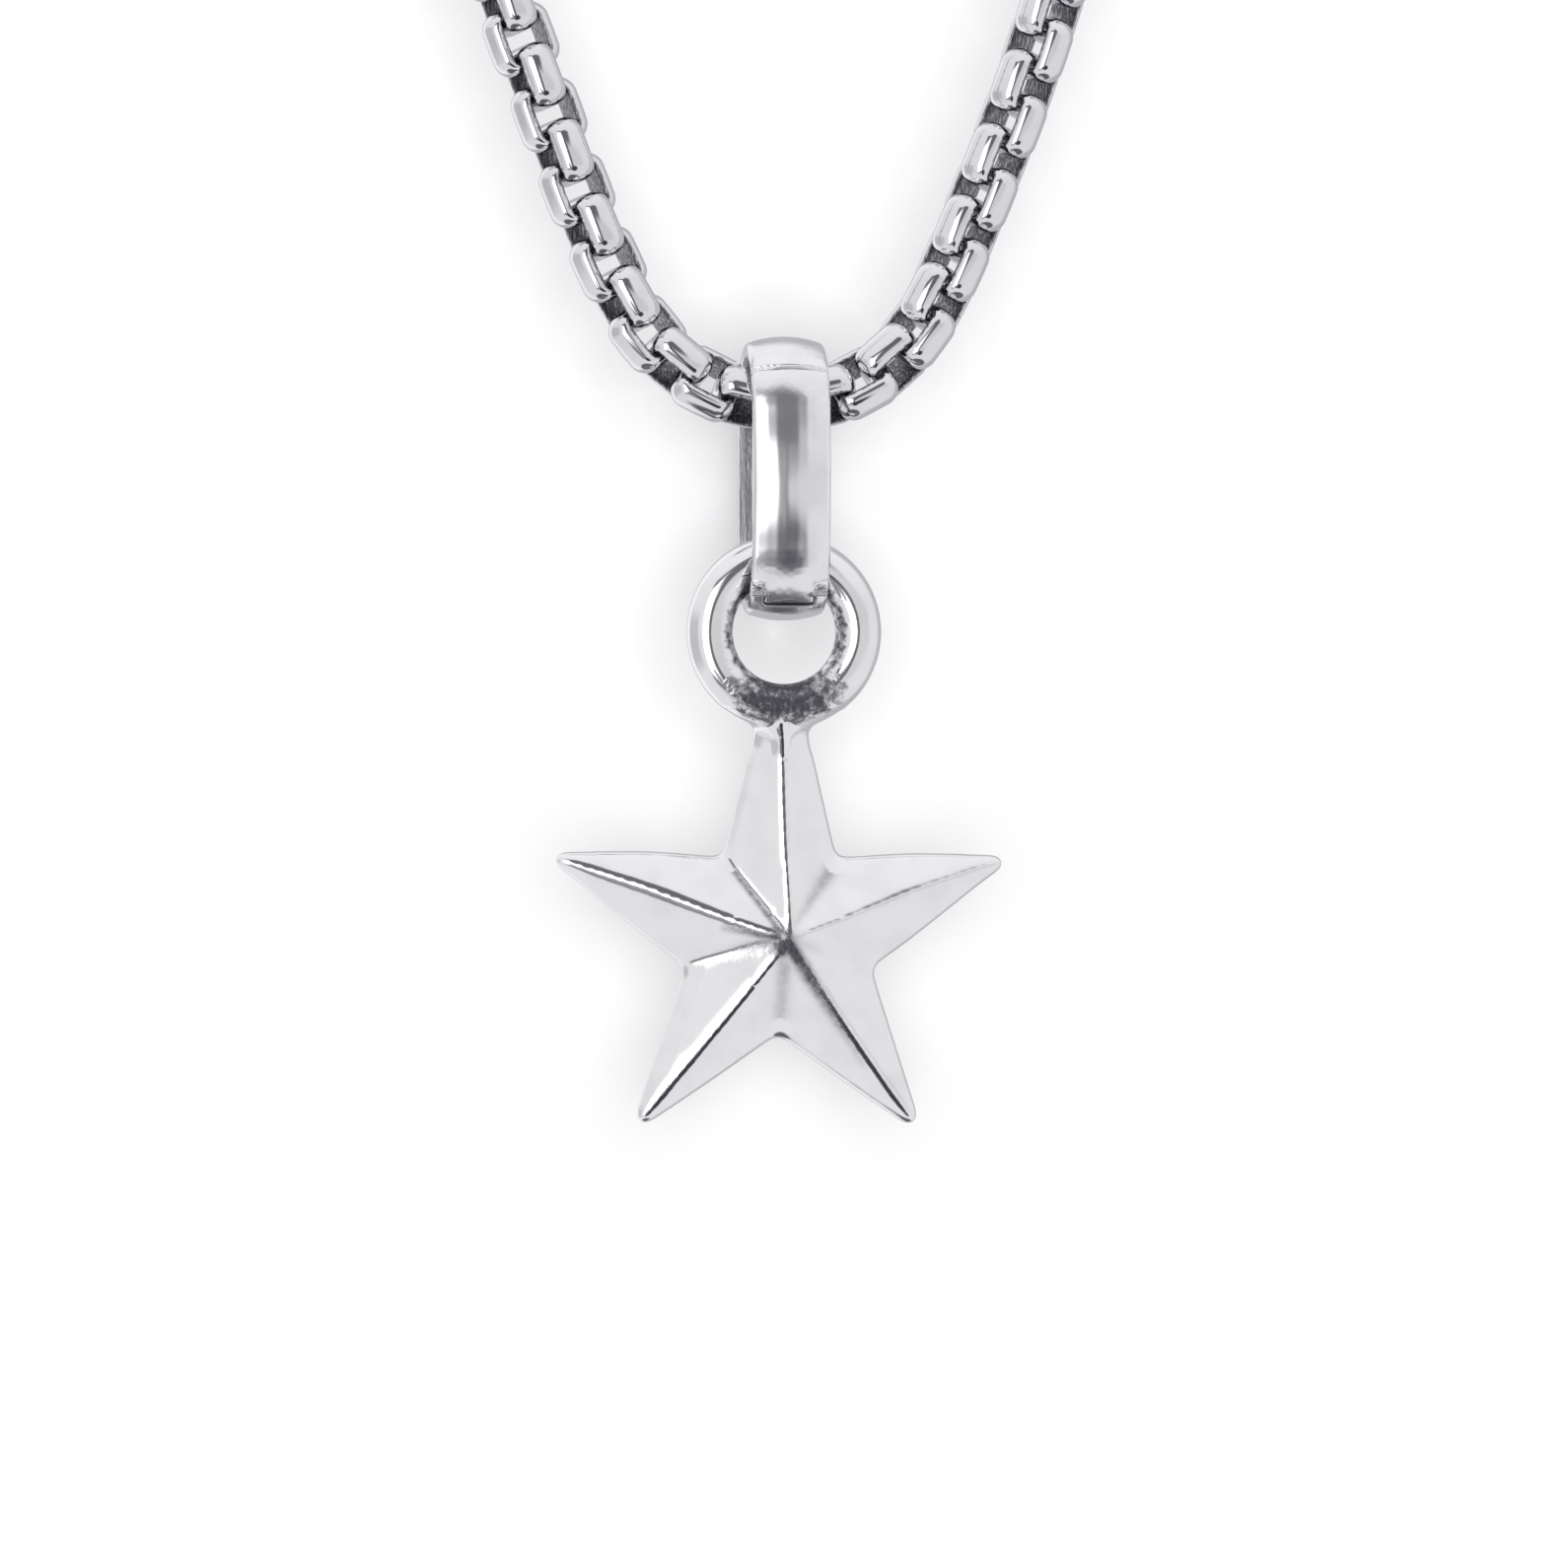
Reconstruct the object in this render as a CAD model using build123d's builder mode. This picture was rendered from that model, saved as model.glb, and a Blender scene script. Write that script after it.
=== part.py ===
from build123d import *
from math import cos, degrees, hypot, pi, radians, sin, sqrt, tan
import os

# A star pendant on a rounded box chain, in millimetres, facing -Y and hanging along -Z.
# The origin is the point under the clasp where the chain rests at the nape.

# Chain links, each a rounded rectangular hoop cut from a domed band
link_length = 2.74
link_width = 2.84
link_band = 1.41
link_wall = 0.39
link_corner = 0.72
link_dome = 0.36
link_pitch = 1.63
# The right strand sits nearer to the bail: its links close up over a few of them
link_tuck = 0.36
tuck_start = 4
tuck_links = 4
front_links = 31
# Columns: link counted from the lowest one, its turn about the chain in degrees
link_turns = [(-15, -11.0), (-5, -21.0), (4, -48.0), (15, -50.0)]

# The chain's route, from its lowest point inside the bail up each side
# Columns: height above the lowest point, reach to the left, reach to the right
front_route = [
    (0.21, 1.75, 1.7),
    (1.03, 3.65, 3.55),
    (2.55, 5.45, 5.25),
    (4.35, 6.6, 6.35),
    (8.25, 8.35, 8.05),
    (12.25, 9.85, 9.65),
    (16.35, 11.4, 11.05),
    (22.45, 13.5, 13.15),
]
# The stretch round the neck: height above the lowest point, reach to either side
neck_route = [
    (65.8, 28.3),
    (114.0, 41.6),
    (159.5, 50.2),
    (195.0, 50.6),
    (220.0, 42.0),
    (235.0, 28.5),
    (241.5, 15.9),
    (241.5, 8.6),
]
run_share = 0.45
tube_gap = 0.12

# Bail, a hinged loop of domed band
bail_height = 11.6
bail_depth = 5.7
bail_wall = 1.05
bail_side_play = 0.51
bail_play = 0.2
outer_crown = 0.3
inner_crown = 0.12
band_round = 0.26
closure_angle = 34.0
seam_gap = 0.05

# Hinge at the foot of the gate
hinge_angle = 44.0
socket_over = 0.05
knuckle_gap = 0.1
knuckle_width = 2.0
knuckle_side_gap = 0.06
pin_radius = 0.2
pin_clearance = 0.03
pin_recess = 0.08

# Ring cast in one with the star
ring_hole = 4.22
ring_wire = 1.94
ring_play = 0.1

# Star
star_drop = 12.5
star_radius = 10.26
star_waist = 4.03
star_points = 5
star_relief = 1.85
rim_thickness = 0.55
star_back = 0.95
tip_round = 0.4
waist_round = 0.35
neck_half_width = 1.15
neck_round = 0.9
neck_sections = 4
neck_sink = 0.45
neck_swell = 0.45
neck_dip = 0.25
neck_thin = 0.12
neck_set = 0.04
neck_tuck = 0.18

# Clasp, its rings and the end caps
clasp_length = 10.0
clasp_width = 5.2
clasp_thickness = 1.2
clasp_wall = 1.1
eye_wall = 0.55
jump_wire = 0.7
jump_radius = 1.5
jump_play = 0.35
cap_length = 3.4
cap_wall = 0.4
cap_clearance = 0.05
cap_floor = 0.6

# Places worked out from the sizes above
neck_height = neck_route[-1][0]
chain_drop = neck_height + clasp_width / 2
low_point = Vector(0, 0, -chain_drop)
tube_radius = link_width / 2
chain_reach = hypot(link_width / 2 - link_dome, link_band / 2 - link_dome) + link_dome

bail_width = ring_hole - 2 * bail_side_play
bail_top = low_point.Z + chain_reach + bail_play + bail_wall
end_radius = bail_depth / 2
mid_radius = end_radius - bail_wall / 2
upper_centre = bail_top - end_radius
lower_centre = bail_top - bail_height + end_radius
hinge_y = -mid_radius * sin(radians(hinge_angle))
hinge_z = lower_centre - mid_radius * cos(radians(hinge_angle))
socket_radius = bail_wall / 2 + socket_over
knuckle_radius = socket_radius - knuckle_gap

wire_radius = ring_wire / 2
hole_radius = ring_hole / 2
ring_radius = hole_radius + wire_radius
ring_edge = ring_radius + wire_radius
seat_reach = hole_radius - band_round - ring_play
seat_height = sqrt(seat_reach**2 - (bail_width / 2 - band_round) ** 2)
bail_floor = bail_top - bail_height + bail_wall
ring_centre = bail_floor - inner_crown - band_round - seat_height
ring_pivot = ring_centre + ring_radius
star_centre = ring_centre - star_drop


def front_curve_points():
    left = [(-reach, low_point.Z + height) for height, reach, _ in reversed(front_route)]
    right = [(reach, low_point.Z + height) for height, _, reach in front_route]
    return left + [(0, low_point.Z)] + right


with BuildLine(Plane.XZ) as front_line:
    Spline(*front_curve_points())
front_curve = front_line.edges()[0]


middle_length = front_curve.length * front_curve.param_at_point(low_point)


def joint_point(steps):
    tucked = max(0, min(steps - tuck_start, tuck_links)) / tuck_links
    place = middle_length + steps * link_pitch - tucked * link_tuck
    return front_curve.position_at(place, position_mode=PositionMode.LENGTH)


def link_roll(station):
    for (before, first_turn), (after, second_turn) in zip(link_turns, link_turns[1:]):
        if before <= station <= after:
            share = (station - before) / (after - before)
            return first_turn + share * (second_turn - first_turn)


def link_plane(station):
    start = joint_point(station - 0.5)
    end = joint_point(station + 0.5)
    along = (end - start).normalized()
    across = Vector(0, -1, 0).rotate(Axis((0, 0, 0), along), link_roll(station))
    if station % 2:
        across = across.rotate(Axis((0, 0, 0), along), 90)
    return Plane(origin=(start + end) * 0.5, x_dir=along, z_dir=across)


with BuildPart() as link:
    with BuildSketch(Plane.XY):
        RectangleRounded(link_length, link_width, link_corner)
        RectangleRounded(
            link_length - 2 * link_wall,
            link_width - 2 * link_wall,
            link_corner - link_wall,
            mode=Mode.SUBTRACT,
        )
    extrude(amount=link_band / 2, both=True)
    rims = link.faces().filter_by(Axis.Z)
    outer_edges = [edge for face in rims for edge in face.outer_wire().edges()]
    fillet(outer_edges, radius=link_dome)

with BuildPart() as chain_front:
    with Locations(*[link_plane(s) for s in range(-(front_links // 2), front_links // 2 + 1)]):
        add(link.part)


def side_route(side):
    end_steps = side * (front_links - 1) / 2
    end_reach = side * (link_length / 2 + tube_gap) / link_pitch
    first = joint_point(end_steps + end_reach)
    rest = [Vector(side * reach, 0, low_point.Z + height) for height, reach in neck_route]
    return [first] + rest


def route_radii(points):
    radii = []
    for before, corner, after in zip(points, points[1:], points[2:]):
        first_run = corner - before
        second_run = after - corner
        shorter = min(first_run.length, second_run.length)
        turn = radians(first_run.get_angle(second_run))
        radii.append(run_share * shorter / tan(turn / 2))
    return radii


def chain_tube(side):
    points = side_route(side)
    radii = route_radii(points)
    with BuildPart() as tube:
        with BuildLine():
            path = FilletPolyline(*points, radius=radii)
        with BuildSketch(Plane(origin=path @ 0, z_dir=path % 0)):
            Circle(tube_radius)
        sweep(path=path)
    section = pi * tube_radius**2
    print("radii", [round(radius, 1) for radius in radii])
    print("tube volume", round(tube.part.volume, 1), "of", round(section * path.length, 1))
    return tube, path.length


chain_left, left_length = chain_tube(-1)
chain_right, right_length = chain_tube(1)

# The bail's band: the section stands across the front leg and runs round the loop
front_leg = Plane(origin=(0, -mid_radius, lower_centre), x_dir=(1, 0, 0), z_dir=(0, 0, 1))
half_width = bail_width / 2
half_wall = bail_wall / 2
with BuildPart() as band:
    with BuildLine(Plane.YZ) as loop:
        Line((-mid_radius, lower_centre), (-mid_radius, upper_centre))
        CenterArc((0, upper_centre), mid_radius, 180, -180)
        Line((mid_radius, upper_centre), (mid_radius, lower_centre))
        CenterArc((0, lower_centre), mid_radius, 0, -180)
    with BuildSketch(front_leg) as band_section:
        with BuildLine():
            outer_edge = -half_wall + outer_crown
            inner_edge = half_wall - inner_crown
            ThreePointArc((-half_width, outer_edge), (0, -half_wall), (half_width, outer_edge))
            Line((half_width, outer_edge), (half_width, inner_edge))
            ThreePointArc((half_width, inner_edge), (0, half_wall), (-half_width, inner_edge))
            Line((-half_width, inner_edge), (-half_width, outer_edge))
        make_face()
        fillet(band_section.vertices(), radius=band_round)
    sweep(path=loop.wires()[0])
print("band volume", round(band.part.volume, 2))


def polar(centre_z, reach, angle):
    return (-reach * cos(radians(angle)), centre_z + reach * sin(radians(angle)))


def gate_outline(gap):
    gap_angle = degrees(gap / mid_radius)
    return [
        (0, lower_centre),
        polar(lower_centre, bail_height, hinge_angle - 90),
        (-2 * bail_height, lower_centre - bail_height),
        (-2 * bail_height, upper_centre + bail_height),
        polar(upper_centre, bail_height, closure_angle + gap_angle),
        (0, upper_centre),
    ]


def beside(side, inner_edge):
    return Plane.YZ.offset(side * inner_edge)


hinge_place = (hinge_y, hinge_z)
ear_start = knuckle_width / 2 + knuckle_side_gap
pin_half = bail_width / 2 - pin_recess

with BuildPart() as gate_knuckle:
    add(band.part)
    with BuildSketch(Plane.YZ):
        with Locations(hinge_place):
            Circle(knuckle_radius)
    extrude(amount=knuckle_width / 2, both=True, mode=Mode.INTERSECT)

with BuildPart() as ears:
    add(band.part)
    with BuildSketch(Plane.YZ):
        with Locations(hinge_place):
            Circle(knuckle_radius)
    extrude(amount=bail_width, both=True, mode=Mode.INTERSECT)
    with BuildSketch(Plane.YZ):
        with Locations(hinge_place):
            Circle(socket_radius)
    extrude(amount=ear_start, both=True, mode=Mode.SUBTRACT)

with BuildPart() as bail_gate:
    add(band.part)
    with BuildSketch(Plane.YZ):
        Polygon(*gate_outline(0), align=None)
    extrude(amount=bail_width, both=True, mode=Mode.INTERSECT)
    for side in (-1, 1):
        with BuildSketch(beside(side, knuckle_width / 2)):
            with Locations(hinge_place):
                Circle(socket_radius)
        extrude(amount=side * bail_width, mode=Mode.SUBTRACT)
    add(gate_knuckle.part)
    with BuildSketch(Plane.YZ):
        with Locations(hinge_place):
            Circle(pin_radius + pin_clearance)
    extrude(amount=bail_width, both=True, mode=Mode.SUBTRACT)

with BuildPart() as bail_body:
    add(band.part)
    with BuildSketch(Plane.YZ):
        Polygon(*gate_outline(seam_gap), align=None)
    extrude(amount=bail_width, both=True, mode=Mode.SUBTRACT)
    with BuildSketch(Plane.YZ):
        with Locations(hinge_place):
            Circle(socket_radius)
    extrude(amount=ear_start, both=True, mode=Mode.SUBTRACT)
    add(ears.part)
    with BuildSketch(Plane.YZ):
        with Locations(hinge_place):
            Circle(pin_radius)
    extrude(amount=pin_half, both=True, mode=Mode.SUBTRACT)

with BuildPart() as hinge_pin:
    with BuildSketch(Plane.YZ):
        with Locations(hinge_place):
            Circle(pin_radius)
    extrude(amount=pin_half, both=True)

# The star: a folded point for each arm, the top one running up into the ring
tip_plane = Plane.XZ.offset(rim_thickness - star_back)
back_plane = Plane.XZ.offset(-star_back)
half_turn = 180 / star_points
waist_x = star_waist * sin(radians(half_turn))
waist_z = star_waist * cos(radians(half_turn))
neck_top = star_drop - ring_edge
neck_slope = (waist_x - neck_half_width) / (neck_top - waist_z)
top_tip = neck_top + neck_half_width / neck_slope


def around_star(reach, angle):
    return (reach * sin(radians(angle)), star_centre + reach * cos(radians(angle)))


def star_outline():
    outline = []
    for arm in range(star_points):
        reach = top_tip if arm == 0 else star_radius
        outline.append(around_star(reach, 2 * arm * half_turn))
        outline.append(around_star(star_waist, (2 * arm + 1) * half_turn))
    return outline


tips = [Vector(x, z) for x, z in star_outline()[2::2]]
waists = [Vector(x, z) for x, z in star_outline()[1::2]]


def near(vertices, places):
    flat = [Vector(v.X, v.Y) for v in vertices]
    return [v for v, at in zip(vertices, flat) if min((at - p).length for p in places) < 0.01]


def neck_section(step):
    share = step / neck_sections
    centre_z = sqrt((ring_edge + neck_round) ** 2 - (neck_half_width + neck_round) ** 2)
    rise = share * neck_round * centre_z / (ring_edge + neck_round)
    half = neck_half_width + neck_round - sqrt(neck_round**2 - rise**2) - share * neck_tuck
    level = ring_centre - centre_z + rise
    fold = star_relief * (1 - (level - star_centre) / top_tip)
    front = star_back - rim_thickness + neck_set
    back = star_back - neck_set
    front_edge = front - share**2 * (front + neck_thin)
    back_edge = back - share**2 * (back - neck_thin)
    corners = [(-half, back_edge), (0, back - share * neck_dip), (half, back_edge)]
    corners += [(half, front_edge), (0, front - fold - share * neck_swell), (-half, front_edge)]
    return level, corners


with BuildSketch(tip_plane) as folds:
    Polygon(*star_outline(), align=None)
apex = Vertex(0, star_back - rim_thickness - star_relief, star_centre)

with BuildPart() as star:
    loft(sections=[folds.sketch.face(), apex])
    with BuildSketch(back_plane) as rim:
        Polygon(*star_outline(), align=None)
        fillet(near(rim.vertices(), waists), radius=waist_round)
    extrude(amount=rim_thickness)
    with BuildSketch(back_plane) as rounded:
        Polygon(*star_outline(), align=None)
        fillet(near(rounded.vertices(), waists), radius=waist_round)
        fillet(near(rounded.vertices(), tips), radius=tip_round)
        with Locations((0, ring_centre)):
            Circle(ring_edge - neck_sink, mode=Mode.SUBTRACT)
    extrude(amount=rim_thickness + 2 * star_relief, mode=Mode.INTERSECT)
    for step in range(neck_sections + 1):
        level, corners = neck_section(step)
        with BuildSketch(Plane.XY.offset(level)):
            Polygon(*corners, align=None)
    loft()
    with Locations((0, 0, ring_centre)):
        Torus(ring_radius, wire_radius, rotation=(90, 0, 0))

# Clasp lying along the top, with a ring and an end cap at each side
level = low_point.Z + neck_height
eye_hole = jump_wire / 2 + jump_play
eye_reach = eye_hole + eye_wall
clasp_eye = clasp_length / 2 - eye_reach
ring_place = clasp_eye + jump_radius
cap_eye = ring_place + jump_radius
tube_end = neck_route[-1][1]

with BuildPart() as clasp:
    with BuildSketch(Plane.XZ):
        with Locations((0, level)):
            SlotOverall(clasp_length, clasp_width)
            Rectangle(clasp_length / 3, clasp_width - 2 * clasp_wall, mode=Mode.SUBTRACT)
            with Locations((-clasp_eye, 0), (clasp_eye, 0)):
                Circle(eye_hole, mode=Mode.SUBTRACT)
    extrude(amount=clasp_thickness / 2, both=True)


def jump_ring(side):
    with BuildPart() as ring:
        with Locations((side * ring_place, 0, level)):
            Torus(jump_radius, jump_wire / 2)
    return ring


def end_cap(side):
    outer = tube_radius + cap_clearance + cap_wall
    mouth = tube_end + cap_length - cap_floor
    closed_end = tube_end - cap_clearance - cap_floor
    with BuildPart() as cap:
        with BuildSketch(Plane.YZ.offset(side * closed_end)):
            with Locations((0, level)):
                Circle(outer)
        extrude(amount=side * cap_length)
        with BuildSketch(Plane.YZ.offset(side * (tube_end - cap_clearance))):
            with Locations((0, level)):
                Circle(tube_radius + cap_clearance)
        extrude(amount=side * cap_length, mode=Mode.SUBTRACT)
        with BuildSketch(Plane.XZ):
            with Locations((side * cap_eye, level)):
                Circle(eye_reach)
            with Locations((side * (cap_eye + closed_end) / 2, level)):
                Rectangle(closed_end - cap_eye + cap_floor, 2 * eye_reach)
            with Locations((side * cap_eye, level)):
                Circle(eye_hole, mode=Mode.SUBTRACT)
        extrude(amount=jump_wire / 2, both=True)
    return cap


ring_left = jump_ring(-1)
ring_right = jump_ring(1)
cap_left = end_cap(-1)
cap_right = end_cap(1)

pieces = {
    "star": star,
    "bail_body": bail_body,
    "bail_gate": bail_gate,
    "hinge_pin": hinge_pin,
    "chain_front": chain_front,
    "chain_left": chain_left,
    "chain_right": chain_right,
    "cap_left": cap_left,
    "cap_right": cap_right,
    "ring_left": ring_left,
    "ring_right": ring_right,
    "clasp": clasp,
}
os.makedirs("parts", exist_ok=True)
for name, piece in pieces.items():
    piece.part.label = name
    export_step(piece.part, f"parts/{name}.step")
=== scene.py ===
import math

import bpy
import numpy as np
from mathutils import Matrix, Vector


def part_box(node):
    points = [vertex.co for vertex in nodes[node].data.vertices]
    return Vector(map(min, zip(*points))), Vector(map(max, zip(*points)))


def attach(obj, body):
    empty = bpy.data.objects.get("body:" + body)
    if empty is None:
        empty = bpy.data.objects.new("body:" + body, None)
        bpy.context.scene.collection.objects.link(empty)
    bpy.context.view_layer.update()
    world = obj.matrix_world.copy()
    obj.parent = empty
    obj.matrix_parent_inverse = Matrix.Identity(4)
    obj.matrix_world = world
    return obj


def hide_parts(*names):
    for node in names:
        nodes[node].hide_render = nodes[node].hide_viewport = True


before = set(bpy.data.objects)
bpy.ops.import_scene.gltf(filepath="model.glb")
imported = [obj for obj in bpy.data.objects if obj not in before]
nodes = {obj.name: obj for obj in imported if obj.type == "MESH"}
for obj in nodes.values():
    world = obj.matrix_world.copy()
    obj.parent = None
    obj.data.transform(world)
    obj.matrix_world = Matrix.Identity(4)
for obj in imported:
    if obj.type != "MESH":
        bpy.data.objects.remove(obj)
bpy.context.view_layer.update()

# Looks of a cast silver star that hangs from a rounded box chain.
# New pieces are modelled in millimetres and brought to metres when they are done.
mm = 0.001


def clearSelection():
    if bpy.context.object and bpy.context.object.mode != "OBJECT":
        bpy.ops.object.mode_set(mode="OBJECT")
    bpy.ops.object.select_all(action="DESELECT")


def pick(piece):
    clearSelection()
    piece.select_set(True)
    bpy.context.view_layer.objects.active = piece


def copyOfNode(name):
    mesh = nodes[name].data.copy()
    mesh.materials.clear()
    mesh.transform(Matrix.Scale(1 / mm, 4))
    piece = bpy.data.objects.new(name + "Copy", mesh)
    bpy.context.collection.objects.link(piece)
    pick(piece)
    bpy.ops.object.mode_set(mode="EDIT")
    bpy.ops.mesh.select_all(action="SELECT")
    bpy.ops.mesh.remove_doubles(threshold=0.0005)
    bpy.ops.object.mode_set(mode="OBJECT")
    bpy.ops.mesh.customdata_custom_splitnormals_clear()
    return piece


def useModifier(piece, kind, **settings):
    pick(piece)
    modifier = piece.modifiers.new(kind.title(), kind)
    for name, value in settings.items():
        setattr(modifier, name, value)
    bpy.ops.object.modifier_apply(modifier=modifier.name)


def joinPieces(pieces, name):
    pick(pieces[0])
    for piece in pieces:
        piece.select_set(True)
    bpy.ops.object.join()
    pieces[0].name = name
    return pieces[0]


def marks(piece, name, values):
    layer = piece.data.attributes.new(name, "FLOAT", "POINT")
    layer.data.foreach_set("value", np.asarray(values, np.float32))


def vertexArray(piece, source="vertices", field="co"):
    spots = np.zeros(len(piece.data.vertices) * 3, np.float32)
    getattr(piece.data, source).foreach_get(field, spots)
    return spots.reshape(-1, 3)


def vertexNormals(piece):
    return vertexArray(piece, "vertex_normals", "vector")


def setVertices(piece, spots):
    piece.data.vertices.foreach_set("co", np.asarray(spots, np.float32).ravel())
    piece.data.update()


def smoothStep(low, high, value):
    share = np.clip((value - low) / (high - low), 0, 1)
    return share * share * (3 - 2 * share)


def facingIn(away, normals):
    # 1 where a surface faces the inside of its loop, -1 where it faces out
    return -(away * normals).sum(1) / np.maximum(np.linalg.norm(away, axis=1), 0.001)


def settle(piece, name, body, slotName, material, *replaced):
    piece.name = piece.data.name = name
    pick(piece)
    bpy.ops.object.transform_apply(location=True, rotation=True, scale=True)
    piece.data.transform(Matrix.Scale(mm, 4))
    piece.data.update()
    bpy.ops.object.shade_smooth()
    piece.data.materials.clear()
    piece.data.materials.append(material)
    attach(piece, body)
    if replaced:
        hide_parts(*replaced)
    print(name, "triangles", sum(len(face.vertices) - 2 for face in piece.data.polygons))


class Wire:
    # one socket, with maths written as plain expressions
    def __init__(self, board, socket):
        self.board = board
        self.socket = socket

    def __add__(self, other):
        return self.board.maths("ADD", self, other)

    def __sub__(self, other):
        return self.board.maths("SUBTRACT", self, other)

    def __rsub__(self, other):
        return self.board.maths("SUBTRACT", other, self)

    def __mul__(self, other):
        return self.board.maths("MULTIPLY", self, other)

    __radd__ = __add__
    __rmul__ = __mul__


class Board:
    # a node tree that is being filled
    def __init__(self, owner):
        owner.use_nodes = True
        self.tree = owner.node_tree
        self.tree.nodes.clear()

    def node(self, kind, settings=None, inputs=None, output=0):
        made = self.tree.nodes.new(kind)
        for name, value in (settings or {}).items():
            setattr(made, name, value)
        for place, value in (inputs or {}).items():
            if isinstance(value, Wire):
                self.tree.links.new(value.socket, made.inputs[place])
            else:
                made.inputs[place].default_value = value
        return Wire(self, made.outputs[output]) if made.outputs else made

    def wires(self, kind, outputs, inputs=None):
        # several outputs of one node
        first = self.node(kind, None, inputs)
        return [Wire(self, first.socket.node.outputs[output]) for output in outputs]

    def maths(self, operation, *values):
        return self.node("ShaderNodeMath", {"operation": operation}, dict(enumerate(values)))

    def mix(self, share, first, second):
        # a colour mix has its colours at places 6 and 7 and its result at 2
        return self.node("ShaderNodeMix", {"data_type": "RGBA"}, {0: share, 6: first, 7: second}, output=2)

    def between(self, value, low, high):
        ends = {"Value": value, "From Min": low, "From Max": high}
        return self.node("ShaderNodeMapRange", {"interpolation_type": "SMOOTHSTEP"}, ends)

    def noise(self, place, scale, detail):
        return self.node("ShaderNodeTexNoise", None, {"Vector": place, "Scale": scale, "Detail": detail})


# Silver, bright on the outside; its dark colour is partly tarnish where polish never reaches and partly
# painted shade and painted dark reflections
silverLook = {
    "bright": (0.93, 0.928, 0.94, 1),
    "haze": 0.935,
    "cloudScale": 700.0,
    "roughness": 0.075,
    "darkRoughness": 0.34,
    "waveScale": 420.0,
    "waveHeight": 0.00002,
    "grainScale": 9000.0,
    "grainHeight": 0.0000006,
    "grainRoughness": 0.05,
    "pitScale": 5200.0,
    "pitHeight": 0.00003,
    "scratchScale": 1500.0,
    "scratchStretch": (9.0, 9.0, 0.7),
}


def silver(
    name,
    shadeAndTarnishColour=None,
    bright=silverLook["bright"],
    roughness=silverLook["roughness"],
    wave=1.0,
    pitting=1.0,
    scratched=0.6,
    blotches=(2600.0, 0.5),
):
    look = silverLook
    material = bpy.data.materials.new(name)
    board = Board(material)
    place = board.node("ShaderNodeTexCoord", output="Object")
    waves = board.noise(place, look["waveScale"], 1.0)
    grain = board.noise(place, look["grainScale"], 4.0)
    height = waves * (look["waveHeight"] * wave) + grain * look["grainHeight"]
    cloud = board.noise(place, look["cloudScale"], 5.0)
    hazy = [tone * look["haze"] for tone in bright[:3]] + [1]
    color = board.mix(board.between(cloud, 0.4, 0.75), bright, hazy)
    rough = grain * look["grainRoughness"] + (roughness - 0.02)
    if shadeAndTarnishColour:
        # painted shade on inner faces, painted dark reflections and tarnish, all in the dark colour
        mask = paintedLightAndTarnishMask(board, place, *blotches)
        color = board.mix(mask, color, shadeAndTarnishColour)
        rough = rough + mask * (look["darkRoughness"] - look["roughness"])
        pits = board.noise(place, look["pitScale"], 5.0)
        stretched = board.node("ShaderNodeMapping", None, {"Vector": place, "Scale": look["scratchStretch"]})
        scratches = board.noise(stretched, look["scratchScale"], 3.0)
        color = board.mix(mask * board.between(scratches, 0.45, 0.7) * scratched, color, bright)
        height = height + (pits + scratches * scratched) * mask * (look["pitHeight"] * pitting)
    bump = board.node("ShaderNodeBump", None, {"Height": height, "Distance": 1.0, "Strength": 1.0})
    shader = board.node(
        "ShaderNodeBsdfPrincipled",
        None,
        {"Base Color": color, "Metallic": 1.0, "Roughness": rough, "Normal": bump},
    )
    board.node("ShaderNodeOutputMaterial", None, {"Surface": shader})
    return material


# mask of painted shade on inner faces, painted dark reflections and tarnish, broken up by blotches
def paintedLightAndTarnishMask(board, place, scale, amount):
    paintedShadeAndTarnish = board.node("ShaderNodeAttribute", {"attribute_name": "paintedShadeAndTarnish"}, output="Fac")
    blotch = board.noise(place, scale, 4.0)
    tarnishAndPaintedReflection = board.node("ShaderNodeAttribute", {"attribute_name": "tarnishAndPaintedReflection"}, output="Fac")
    shadeAndPits = board.between(paintedShadeAndTarnish + (blotch - 0.5) * amount, 0.35, 0.8)
    return board.maths("MAXIMUM", shadeAndPits, tarnishAndPaintedReflection * (blotch * 0.9 + 0.4))


# The chain's link: a hoop of half-round band with flat inside, long side along X.
# Its long sides are thicker than its end bars and bow out a little.
linkShape = {
    "length": 2.74,
    "width": 2.8,
    "band": 1.44,
    "wall": 0.44,
    "sideWall": 0.62,
    "crown": 0.4,
    "sideCrown": 0.5,
    "corner": 0.72,
    "bow": 0.04,
    "sideBlend": (0.2, 0.9),
    "paintedShadeAndTarnish": (-0.25, 0.6),
}


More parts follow.
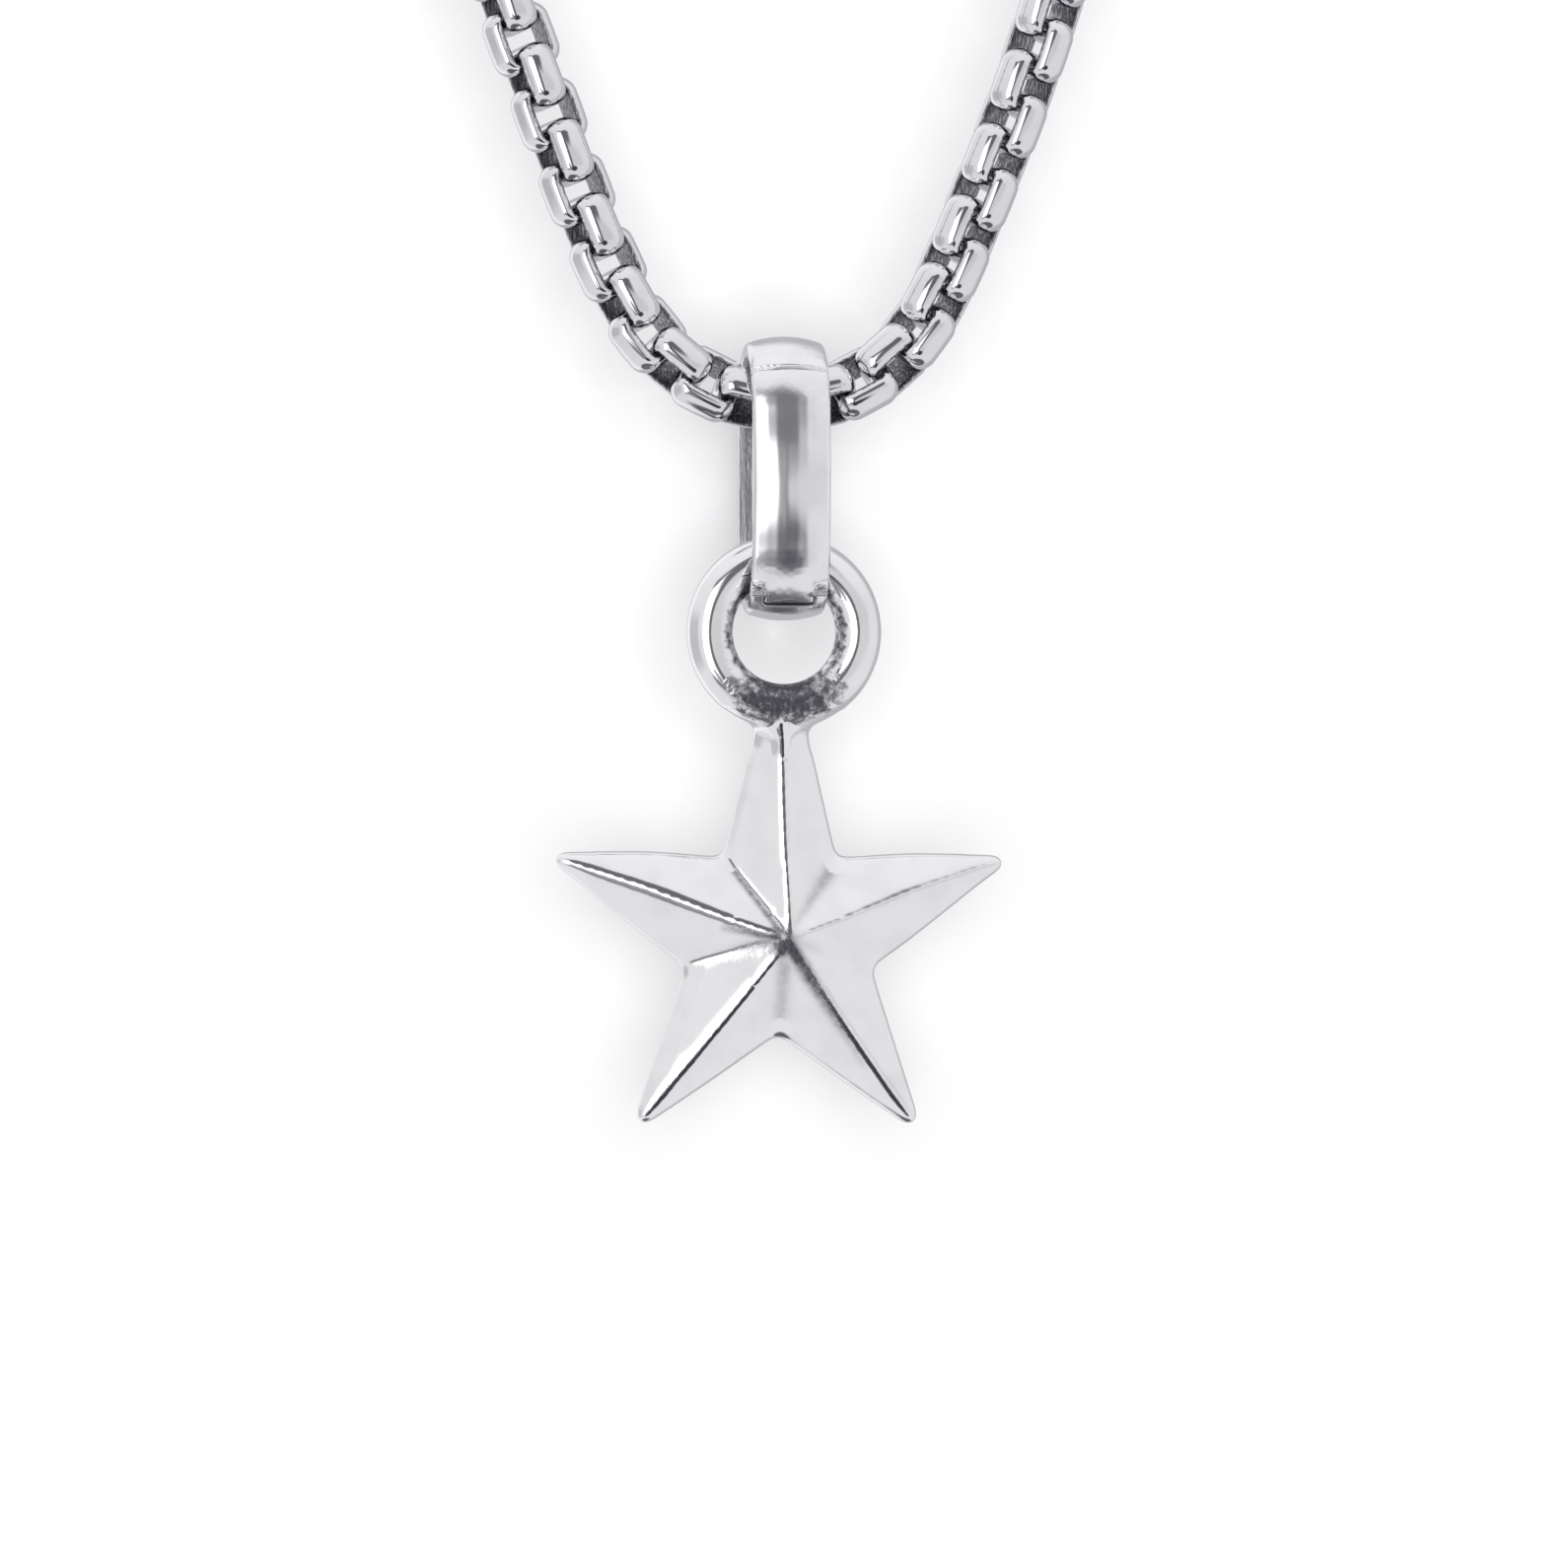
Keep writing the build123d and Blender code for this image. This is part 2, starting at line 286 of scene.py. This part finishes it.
def makeLink(name, profilePoints, cornerSteps, runSteps=1):
    shape = linkShape
    halfWall = shape["wall"] / 2
    reachX = shape["length"] / 2 - shape["corner"]
    reachY = shape["width"] / 2 - shape["corner"]
    wallLine = shape["width"] / 2 - halfWall
    clearSelection()
    bpy.ops.mesh.primitive_circle_add(
        vertices=profilePoints,
        radius=1,
        location=(-reachX, wallLine, 0),
        rotation=(0, math.pi / 2, 0),
    )
    link = bpy.context.object
    bpy.ops.object.transform_apply(location=True, rotation=True, scale=True)
    spots = vertexArray(link)
    outward = spots[:, 1] - wallLine
    spots[:, 2] *= shape["band"] / 2
    flatSide = shape["wall"] - shape["crown"]
    outward = outward * np.where(outward > 0, shape["crown"], flatSide) - halfWall + flatSide
    spots[:, 1] = wallLine + outward
    setVertices(link, spots)
    bpy.ops.object.mode_set(mode="EDIT")
    bpy.ops.mesh.select_all(action="SELECT")
    runs = [2 * reachX, 2 * reachY, 2 * reachX, 2 * reachY]
    corners = [(reachX, reachY), (reachX, -reachY), (-reachX, -reachY), (-reachX, reachY)]
    headings = [(1, 0), (0, -1), (-1, 0), (0, 1)]
    for run, corner, heading in zip(runs, corners, headings):
        for _ in range(runSteps):
            step = (heading[0] * run / runSteps, heading[1] * run / runSteps, 0)
            bpy.ops.mesh.extrude_region_move(TRANSFORM_OT_translate={"value": step})
        bpy.ops.mesh.spin(steps=cornerSteps, angle=math.pi / 2, center=(*corner, 0), axis=(0, 0, 1))
    bpy.ops.mesh.select_all(action="SELECT")
    bpy.ops.mesh.remove_doubles(threshold=0.01)
    bpy.ops.mesh.normals_make_consistent(inside=False)
    bpy.ops.object.mode_set(mode="OBJECT")
    spots = vertexArray(link)
    core = np.clip(spots, [-reachX, -reachY, -1], [reachX, reachY, 1])
    away = spots - core
    away[:, 2] = 0
    reach = np.linalg.norm(away, axis=1)
    heading = away / reach[:, None]
    sideShare = smoothStep(*shape["sideBlend"], np.abs(heading[:, 1]))
    # a hair past the band's widest line, whose points belong to the inside
    flatLine = shape["corner"] - shape["crown"] + 0.001
    crownScale = 1 + (shape["sideCrown"] / shape["crown"] - 1) * sideShare
    outer = shape["corner"] - (shape["corner"] - reach) * crownScale
    inner = reach - (shape["sideWall"] - shape["wall"]) * sideShare
    spots[:, :2] = (core + heading * np.where(reach > flatLine, outer, inner)[:, None])[:, :2]
    swell = np.cos(spots[:, 0] / shape["length"] * math.pi) * shape["bow"]
    spots[:, 1] += heading[:, 1] * sideShare * swell
    setVertices(link, spots)
    away = spots - np.clip(spots, [-reachX, -reachY, -1], [reachX, reachY, 1])
    away[:, 2] = 0
    inward = facingIn(away, vertexNormals(link))
    # the link's inner faces are darkened: painted shade, with some tarnish
    marks(link, "paintedShadeAndTarnish", smoothStep(*shape["paintedShadeAndTarnish"], inward))
    link.name = name
    print(name, "faces", len(link.data.polygons), "size", [round(v, 2) for v in link.dimensions])
    return link


def placeLink(link, centre, along, band):
    across = band.cross(along).normalized()
    band = along.cross(across)
    turned = Matrix((along, across, band)).transposed().to_4x4()
    placed = bpy.data.objects.new("placedLink", link.data.copy())
    bpy.context.collection.objects.link(placed)
    placed.data.transform(Matrix.Translation(centre) @ turned)
    return placed


def frontPlaces():
    chain = copyOfNode("chain_front")
    pick(chain)
    bpy.ops.object.mode_set(mode="EDIT")
    bpy.ops.mesh.select_all(action="SELECT")
    bpy.ops.mesh.separate(type="LOOSE")
    bpy.ops.object.mode_set(mode="OBJECT")
    places = []
    for part in list(bpy.context.selected_objects):
        spots = vertexArray(part).astype(float)
        centre = (spots.min(0) + spots.max(0)) / 2
        spread = np.linalg.eigh(np.cov((spots - centre).T))
        places.append((Vector(centre), Vector(spread[1][:, 0])))
        bpy.data.objects.remove(part)
    places.sort(key=lambda place: place[0].x)
    centres = [centre for centre, _ in places]
    runs = []
    for index, (centre, band) in enumerate(places):
        before = centres[max(index - 1, 0)]
        after = centres[min(index + 1, len(centres) - 1)]
        runs.append((centre, (after - before).normalized(), band))
    return runs


def frontChain(places):
    link = makeLink("frontLink", 20, 6, 2)
    placed = [placeLink(link, centre, along, band) for centre, along, band in places]
    bpy.data.objects.remove(link)
    return joinPieces(placed, "chainFrontLinks")


# The stretch round the neck, as heights above the chain's low point and reaches
neckShape = {
    "pitch": 1.63,
    "lowPoint": -244.1,
    "route": [
        (65.8, 28.3),
        (114.0, 41.6),
        (159.5, 50.2),
        (195.0, 50.6),
        (220.0, 42.0),
        (235.0, 28.5),
        (241.5, 15.9),
        (241.5, 8.6),
    ],
    "capReach": 0.6,
}


def neckCurve(start, side):
    shape = neckShape
    points = [start]
    for height, reach in shape["route"]:
        points.append(Vector((side * reach, 0, shape["lowPoint"] + height)))
    curve = bpy.data.curves.new("neckLine", "CURVE")
    curve.dimensions = "3D"
    curve.resolution_u = 60
    line = curve.splines.new("NURBS")
    line.points.add(len(points) - 1)
    for spot, point in zip(line.points, points):
        spot.co = (*point, 1)
    line.use_endpoint_u = True
    line.order_u = 3
    holder = bpy.data.objects.new("neckLine", curve)
    bpy.context.collection.objects.link(holder)
    bpy.context.view_layer.update()
    mesh = bpy.data.meshes.new_from_object(holder)
    path = [vertex.co.copy() for vertex in mesh.vertices]
    bpy.data.objects.remove(holder)
    return path


def neckChain(link, places, side):
    centre, along, band = places[-1] if side > 0 else places[0]
    along = along * side
    path = neckCurve(centre, side)
    distances = [0.0]
    for here, there in zip(path, path[1:]):
        distances.append(distances[-1] + (there - here).length)
    forward = Vector((0, -1, 0))
    firstRoll = math.atan2(band.dot(along.cross(forward)), band.dot(forward))
    # the last link reaches a little way into its cap
    run = distances[-1] - linkShape["length"] / 2 + neckShape["capReach"]
    count = int(run / neckShape["pitch"])
    pitch = run / count
    placed = []
    spot = 0
    for number in range(1, count + 1):
        reach = number * pitch
        while distances[spot + 1] < reach and spot < len(path) - 2:
            spot += 1
        heading = (path[spot + 1] - path[spot]).normalized()
        place = path[spot] + heading * (reach - distances[spot])
        turn = Matrix.Rotation(firstRoll + math.pi / 2 * number, 3, heading)
        placed.append(placeLink(link, place, heading, turn @ forward))
    print("neck links", len(placed), "pitch", round(pitch, 3))
    return joinPieces(placed, "chainNeckLinks")


# Castings: softened copies of the frame's solids
castings = {
    "star": {"voxel": 0.076, "rounds": 36},
    "bail_body": {"voxel": 0.045, "rounds": 6},
    "bail_gate": {"voxel": 0.045, "rounds": 6},
    "clasp": {"voxel": 0.08, "rounds": 4},
    "cap_left": {"voxel": 0.07, "rounds": 4},
    "cap_right": {"voxel": 0.07, "rounds": 4},
}


def casting(name):
    shape = castings[name]
    piece = copyOfNode(name)
    useModifier(piece, "REMESH", mode="VOXEL", voxel_size=shape["voxel"], adaptivity=0.0)
    useModifier(piece, "SMOOTH", factor=1.0, iterations=shape["rounds"])
    return piece


# The bail's loop; its front is drawn in a little above and below the middle, as polishing leaves it
bailShape = {
    "depth": 5.7,
    "height": 11.6,
    "pillow": 0.45,
    "pillowReach": 4.9,
    "outside": (0.2, -0.3),
    "paintedShadeAndTarnish": (0.1, 0.7),
}


def shapeBail(piece, top):
    shape = bailShape
    spots = vertexArray(piece)
    upper = top - shape["depth"] / 2
    lower = top - shape["height"] + shape["depth"] / 2
    middle = (upper + lower) / 2
    away = spots.copy()
    away[:, 0] = 0
    away[:, 2] -= np.clip(spots[:, 2], lower, upper)
    inward = facingIn(away, vertexNormals(piece))
    height = np.clip((spots[:, 2] - middle) / shape["pillowReach"], -1, 1)
    front = np.clip(-spots[:, 1] / (shape["depth"] / 2), 0, 1)
    drawn = shape["pillow"] * (1 - np.cos(height * math.pi)) / 2
    spots[:, 1] += drawn * front * smoothStep(*shape["outside"], inward)
    setVertices(piece, spots)
    # the loop's inside is darkened: painted shade
    marks(piece, "paintedShadeAndTarnish", smoothStep(*shape["paintedShadeAndTarnish"], inward))


# The star and its ring: where tarnish stays, where shade and dark reflections are painted, what is softened
# and how the arms depart from the plain form.
# Depths are measured down from the ring's top.
starShape = {
    "ringOuter": 4.05,
    "drop": 16.55,
    "arms": 5,
    "hang": 0.6,
    "tarnishAndReflectionStreaks": [
        # valley's angle, start and end along it, tone and half width at start and end
        (54, 0.6, 5.0, 0.1, 1.0, 0.12, 0.42),
        (126, 0.2, 4.9, 0.85, 0.6, 0.11, 0.13),
        (198, 0.0, 2.4, 0.9, 0.1, 0.22, 0.4),
        (270, 0.0, 3.6, 0.5, 0.3, 0.3, 0.35),
        (342, 0.0, 2.0, 0.4, 0.0, 0.2, 0.3),
        # this one and the next lie beside the ridges: painted dark reflections
        (171, 0.2, 2.5, 1.3, 0.3, 0.19, 0.14),
        (303.5, 0.2, 6.4, 1.4, 0.1, 0.32, 0.12),
    ],
    "apexDark": {"offset": (-0.1, -0.3), "tone": 1.4, "radius": 0.5},
    "foot": {"reach": (4.4, 3.1), "spread": (0.3, 1.0), "tone": 0.8},
    "inside": {"reach": (2.95, 2.35), "tone": 0.6},
    "valley": {"start": 1.6, "end": 5.0, "half": 0.45, "firstAngle": 54},
    "sideStart": -0.95,
    "sideRounds": 26,
    "bend": {"half": 0.9, "rounds": 50, "lateHalf": 1.3, "lateWide": 1.6, "lateRounds": 12},
    "ridge": {"top": 7.3, "foot": 9.4, "front": -0.2, "near": 0.12, "slope": 0.56, "round": 0.02, "half": 1.7},
    "curl": {"amount": 0.5, "end": 10.6, "run": 3.3, "fade": (6.2, 7.6), "depth": 1.4},
    "apexShift": 0.17,
    "armsFrom": (9.5, 11.5),
    "stretch": {"amount": 0.035, "along": (1.5, 7.0)},
    "lift": {"amount": 0.3, "along": (0.8, 6.0), "below": 0.8, "above": 2.4},
}


def segmentDistance(spots, start, end):
    line = end - start
    share = np.clip(((spots - start) @ line) / (line @ line), 0, 1)
    return np.linalg.norm(spots - start - share[:, None] * line, axis=1), share


def valleyPoints(centre, angle, *reaches):
    angle = math.radians(angle)
    heading = np.array([math.cos(angle), math.sin(angle)])
    return [centre + heading * reach for reach in reaches]


def tiltStar(piece, top):
    # it hangs a touch aslant in its ring
    pivot = Matrix.Translation((0, 0, top - starShape["ringOuter"]))
    turn = Matrix.Rotation(math.radians(starShape["hang"]), 4, "Y")
    piece.data.transform(pivot @ turn @ pivot.inverted())
    piece.data.update()


def markStar(piece, top):
    shape = starShape
    spots = vertexArray(piece)
    flat = spots[:, (0, 2)]
    centre = np.array([0, top - shape["drop"]])
    tarnishAndPaintedReflection = np.zeros(len(spots))
    # dark streaks: tarnish along the valleys, painted dark reflections beside the ridges
    for angle, start, end, startTone, endTone, startWidth, endWidth in shape["tarnishAndReflectionStreaks"]:
        off, share = segmentDistance(flat, *valleyPoints(centre, angle, start, end))
        width = startWidth + (endWidth - startWidth) * share
        tone = startTone + (endTone - startTone) * share
        tarnishAndPaintedReflection = np.maximum(tarnishAndPaintedReflection, tone * np.exp(-((off / width) ** 2)))
    # darker round the apex
    apex = shape["apexDark"]
    off = np.linalg.norm(flat - centre - np.array(apex["offset"]), axis=1)
    tarnishAndPaintedReflection = np.maximum(tarnishAndPaintedReflection, apex["tone"] * np.exp(-((off / apex["radius"]) ** 2)))
    tarnishAndPaintedReflection *= spots[:, 1] < 0
    away = flat - np.array([0, top - shape["ringOuter"]])
    reach = np.linalg.norm(away, axis=1)
    low = smoothStep(*shape["foot"]["spread"], -away[:, 1] / np.maximum(reach, 0.01))
    foot = smoothStep(*shape["foot"]["reach"], reach) * low * shape["foot"]["tone"]
    # the ring's inner side is darkened: painted shade
    inside = smoothStep(*shape["inside"]["reach"], reach) * shape["inside"]["tone"]
    marks(piece, "paintedShadeAndTarnish", np.maximum(foot, inside))
    marks(piece, "tarnishAndPaintedReflection", tarnishAndPaintedReflection)


def soften(piece, chosen, rounds):
    group = piece.vertex_groups.new(name="soft")
    group.add([int(index) for index in np.nonzero(chosen)[0]], 1.0, "REPLACE")
    useModifier(piece, "SMOOTH", factor=1.0, iterations=rounds, vertex_group="soft")
    piece.vertex_groups.clear()


def reshapeStar(piece, top):
    # the top ridge runs on to the ring and curls, the apex leans, the arms reach further and higher
    shape = starShape
    ridge, curl, stretch, lift = (shape[name] for name in ("ridge", "curl", "stretch", "lift"))
    x, y, z = vertexArray(piece).astype(float).T.copy()
    below = top - z
    crestEnds = []
    for depth in (ridge["top"], ridge["foot"]):
        near = (np.abs(x) < ridge["near"]) & (np.abs(below - depth) < ridge["near"])
        crestEnds.append(y[near].min())
    share = np.clip((below - ridge["top"]) / (ridge["foot"] - ridge["top"]), 0, 1)
    crest = crestEnds[0] + (crestEnds[1] - crestEnds[0]) * share
    crest += np.sqrt(x * x + ridge["round"]) * ridge["slope"]
    lifted = (y < ridge["front"]) & (share > 0) & (share < 1) & (np.abs(x) < ridge["half"])
    y = np.where(lifted & (crest < y), crest, y)
    forward = np.clip(-y / curl["depth"], 0, 1)
    bent = np.clip((curl["end"] - below) / curl["run"], 0, 1) * smoothStep(*curl["fade"], below)
    x = x - curl["amount"] * bent * bent * forward
    x = x + shape["apexShift"] * np.clip(-y, 0, 2) * smoothStep(ridge["foot"], shape["drop"], below)
    arms = smoothStep(*shape["armsFrom"], below)
    x = x * (1 + stretch["amount"] * smoothStep(*stretch["along"], np.abs(x)) * arms)
    high = smoothStep(shape["drop"] + lift["below"], shape["drop"] - lift["above"], below)
    z = z + lift["amount"] * smoothStep(*lift["along"], np.abs(x)) * high * arms
    setVertices(piece, np.stack([x, y, z], axis=1))


def softenStar(piece, top):
    # edges, valleys and neck are rounder than the ridges
    shape = starShape
    valley, bend = shape["valley"], shape["bend"]
    bendHeight = top - shape["ringOuter"] * 2
    spots = vertexArray(piece)
    centre = np.array([0, top - shape["drop"]])
    chosen = spots[:, 1] > shape["sideStart"]
    for number in range(shape["arms"]):
        angle = valley["firstAngle"] + 360 / shape["arms"] * number
        ends = valleyPoints(centre, angle, valley["start"], valley["end"])
        chosen |= segmentDistance(spots[:, (0, 2)], *ends)[0] < valley["half"]
    soften(piece, chosen, shape["sideRounds"])
    soften(piece, np.abs(spots[:, 2] - bendHeight) < bend["half"], bend["rounds"])
    reshapeStar(piece, top)
    late = (np.abs(spots[:, 2] - bendHeight) < bend["lateHalf"]) & (np.abs(spots[:, 0]) < bend["lateWide"])
    soften(piece, late, bend["lateRounds"])


print("materials")
# star's dark colour: tarnish, oxide at the ring's foot, painted shade inside the ring and painted dark
# reflections
starSilver = silver(
    "starSilver",
    shadeAndTarnishColour=(0.12, 0.12, 0.14, 1),
    roughness=0.1,
    wave=1.6,
    pitting=1.1,
    scratched=0.1,
    blotches=(3600.0, 1.1),
)
# bail's dark colour: painted shade inside the loop
bailSilver = silver("bailSilver", shadeAndTarnishColour=(0.34, 0.34, 0.37, 1), roughness=0.2, wave=4.0)
# chain's dark colour: painted shade on the links' inner faces, with some tarnish
chainSilver = silver(
    "chainSilver",
    shadeAndTarnishColour=(0.16, 0.16, 0.18, 1),
    bright=(0.84, 0.84, 0.86, 1),
    wave=0.4,
    pitting=0.6,
    blotches=(3400.0, 1.0),
)
claspSilver = silver("claspSilver")

print("castings")
piece = casting("star")
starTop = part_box("star")[1].z / mm
softenStar(piece, starTop)
markStar(piece, starTop)
tiltStar(piece, starTop)
settle(piece, "starCast", "star", "star_silver", starSilver, "star")
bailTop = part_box("bail_body")[1].z / mm
for name, body in (("bail_body", "bail"), ("bail_gate", "gate")):
    piece = casting(name)
    shapeBail(piece, bailTop)
    settle(piece, name + "Cast", body, "bail_silver", bailSilver, name)
for name in ("clasp", "cap_left", "cap_right"):
    settle(casting(name), name + "Cast", "chain", "clasp_silver", claspSilver, name)
for name, material in (("hinge_pin", bailSilver), ("ring_left", claspSilver), ("ring_right", claspSilver)):
    nodes[name].data.materials.clear()
    nodes[name].data.materials.append(material)

print("chain")
places = frontPlaces()
settle(frontChain(places), "chainFrontLinks", "chain", "chain_silver", chainSilver, "chain_front")
neckLink = makeLink("neckLink", 6, 2)
settle(neckChain(neckLink, places, -1), "chainLeftLinks", "chain", "chain_silver", chainSilver, "chain_left")
settle(neckChain(neckLink, places, 1), "chainRightLinks", "chain", "chain_silver", chainSilver, "chain_right")
bpy.data.objects.remove(neckLink)

# Floor far below, and a clear sheet close behind that only shows a painted soft shadow round the piece
ground = {
    "floor": -420.0,
    "halfWide": 1500.0,
    "fibreScale": 900.0,
    "paper": [(0.86, 0.86, 0.865, 1), (0.9, 0.9, 0.905, 1)],
    "sheetPlace": (0.0, 3.2, -240.0),
    "sheetHalf": (30.0, 45.0),
    "reach": 3.4,
    "strength": 0.62,
    "samples": 6,
    "shadowColour": (0.0, 0.0, 0.012, 1),
    # how far aslant the sheet may be seen before its grey fades and is gone
    "fade": (0.02, 0.15),
}


def makeFloor():
    clearSelection()
    bpy.ops.mesh.primitive_plane_add(size=2 * ground["halfWide"] * mm, location=(0, 0, ground["floor"] * mm))
    floor = bpy.context.object
    floor.name = "floor"
    paper = bpy.data.materials.new("paper")
    board = Board(paper)
    place = board.node("ShaderNodeTexCoord", output="Object")
    fibre = board.noise(place, ground["fibreScale"], 3.0)
    tone = board.mix(fibre, *ground["paper"])
    shader = board.node("ShaderNodeBsdfDiffuse", None, {"Color": tone})
    board.node("ShaderNodeOutputMaterial", None, {"Surface": shader})
    floor.data.materials.append(paper)
    floor.visible_glossy = False


def makeSheet():
    clearSelection()
    bpy.ops.mesh.primitive_plane_add(
        size=2,
        location=Vector(ground["sheetPlace"]) * mm,
        rotation=(math.pi / 2, 0, 0),
    )
    sheet = bpy.context.object
    sheet.scale = (ground["sheetHalf"][0] * mm, ground["sheetHalf"][1] * mm, 1)
    sheet.name = "softShadow"
    haze = bpy.data.materials.new("softShadow")
    board = Board(haze)
    samples = {"samples": ground["samples"]}
    reach = {"Distance": ground["reach"] * mm}
    openness = board.node("ShaderNodeAmbientOcclusion", samples, reach, output="AO")
    isBack = board.node("ShaderNodeNewGeometry", output="Backfacing")
    isCamera = board.node("ShaderNodeLightPath", output="Is Camera Ray")
    aslant = board.node("ShaderNodeLayerWeight", None, {"Blend": 0.5}, output="Facing")
    square = 1 - board.between(aslant, *ground["fade"])
    # the sheet paints a soft shadow where the piece is near
    shade = (1 - openness) * ground["strength"] * (1 - isBack) * isCamera * square
    clear = board.node("ShaderNodeBsdfTransparent")
    paintedShadow = board.node("ShaderNodeEmission", None, {"Color": ground["shadowColour"]})
    shader = board.node("ShaderNodeMixShader", None, {0: shade, 1: clear, 2: paintedShadow})
    board.node("ShaderNodeOutputMaterial", None, {"Surface": shader})
    sheet.data.materials.append(haze)
    sheet.visible_glossy = False
    sheet.visible_diffuse = False
    sheet.visible_shadow = False


print("ground")
makeFloor()
makeSheet()

# Camera: the photo's angle, a long lens, and the frame's width at the piece
view = {
    "azimuth": -7.8,
    "elevation": 1.0,
    "lens": 200.0,
    "sensor": 36.0,
    "target": (0.0, 0.0, -259.65),
    "frame": 64.1,
    "clip": (0.01, 20.0),
}


def direction(azimuth, elevation):
    a, e = math.radians(azimuth), math.radians(elevation)
    return Vector((math.sin(a) * math.cos(e), -math.cos(a) * math.cos(e), math.sin(e)))


def makeCamera():
    camera = bpy.data.cameras.new("camera")
    holder = bpy.data.objects.new("camera", camera)
    bpy.context.collection.objects.link(holder)
    camera.lens = view["lens"]
    camera.sensor_width = view["sensor"]
    away = direction(view["azimuth"], view["elevation"])
    distance = view["frame"] * view["lens"] / view["sensor"]
    holder.location = (Vector(view["target"]) + away * distance) * mm
    holder.rotation_euler = (-away).to_track_quat("-Z", "Y").to_euler()
    camera.clip_start, camera.clip_end = view["clip"]
    bpy.context.scene.camera = holder


print("camera")
makeCamera()

# Studio: an even pale tent with a white strip left of the camera and dark gaps beside it
studio = {
    "tent": 0.79,
    "lift": 0.045,
    "ends": 0.085,
    "paperLight": 1.22,
    "backdrop": 1.0,
    "cool": {"Color": (0.3, 0.25, 1, 1), "Strength": 0.02},
    "cards": [
        # azimuth and elevation from the camera as ranges, softness, radiance
        ("back", -180.0, -120.0, -60.0, 60.0, 12.0, 0.98),
        ("rearLeft", -190.0, -155.0, -60.0, 60.0, 10.0, 0.5),
        ("rearRight", 118.0, 190.0, -60.0, 60.0, 16.0, 0.5),
        ("left", -120.0, -58.0, -24.0, 12.0, 7.0, 0.56),
        ("right", 10.0, 56.0, -8.0, 12.0, 5.0, 0.68),
        ("strip", -32.0, -2.0, -24.0, 24.0, 1.6, 1.9),
        ("line", -2.0, 9.0, -34.0, 33.0, 1.6, 0.13),
        ("rim", -36.0, 5.0, 25.0, 32.0, 1.6, 0.15),
        ("sill", -36.0, -2.0, -33.0, -25.0, 1.6, 0.2),
        ("below", -190.0, 190.0, -100.0, -64.0, 4.0, 0.12),
    ],
    "ovals": [
        # azimuth and elevation of the middle, half sizes, radiance
        ("under", 13.0, -26.0, 19.0, 15.0, 0.04),
        ("over", 10.0, 22.0, 21.0, 16.0, 0.14),
        ("step", -9.0, -19.5, 12.0, 6.5, 0.3),
    ],
}


def within(board, angle, start, end, soft):
    off = board.maths("ABSOLUTE", angle - (start + end) / 2)
    half = (end - start) / 2
    return 1 - board.between(off, half - soft, half + soft)


def makeStudio():
    world = bpy.data.worlds.new("studio")
    world.cycles.sampling_method = "NONE"
    bpy.context.scene.world = world
    board = Board(world)
    isCamera, isDiffuse = board.wires("ShaderNodeLightPath", ["Is Camera Ray", "Is Diffuse Ray"])
    ray = board.node("ShaderNodeTexCoord", output="Generated")
    x, y, z = board.wires("ShaderNodeSeparateXYZ", "XYZ", {"Vector": ray})
    turn = math.radians(view["azimuth"])
    ahead = x * math.sin(turn) - y * math.cos(turn)
    aside = x * math.cos(turn) + y * math.sin(turn)
    azimuth = board.maths("ARCTAN2", aside, ahead) * (180 / math.pi)
    elevation = board.maths("ARCSINE", z) * (180 / math.pi)
    light = z * studio["lift"] + z * z * studio["ends"] + studio["tent"]
    for _, left, right, low, high, soft, radiance in studio["cards"]:
        mask = within(board, azimuth, left, right, soft) * within(board, elevation, low, high, soft)
        light = light * (1 - mask) + mask * radiance
    for _, middleWide, middleHigh, halfWide, halfHigh, radiance in studio["ovals"]:
        offWide = (azimuth - middleWide) * (1 / halfWide)
        offHigh = (elevation - middleHigh) * (1 / halfHigh)
        mask = 1 - board.between(offWide * offWide + offHigh * offHigh, 0.5, 1.35)
        light = light * (1 - mask) + mask * radiance
    light = light * (1 - isDiffuse) + isDiffuse * studio["paperLight"]
    light = light * (1 - isCamera) + isCamera * studio["backdrop"]
    white = board.node("ShaderNodeBackground", None, {"Color": (1, 1, 1, 1), "Strength": light})
    cool = board.node("ShaderNodeBackground", None, studio["cool"])
    both = board.node("ShaderNodeAddShader", None, {0: white, 1: cool})
    board.node("ShaderNodeOutputWorld", None, {"Surface": both})


print("studio")
makeStudio()

scene = bpy.context.scene
scene.view_settings.view_transform = "Standard"
scene.view_settings.look = "None"
scene.cycles.use_denoising = True
scene.cycles.max_bounces = 10
scene.cycles.glossy_bounces = 8

print("done")
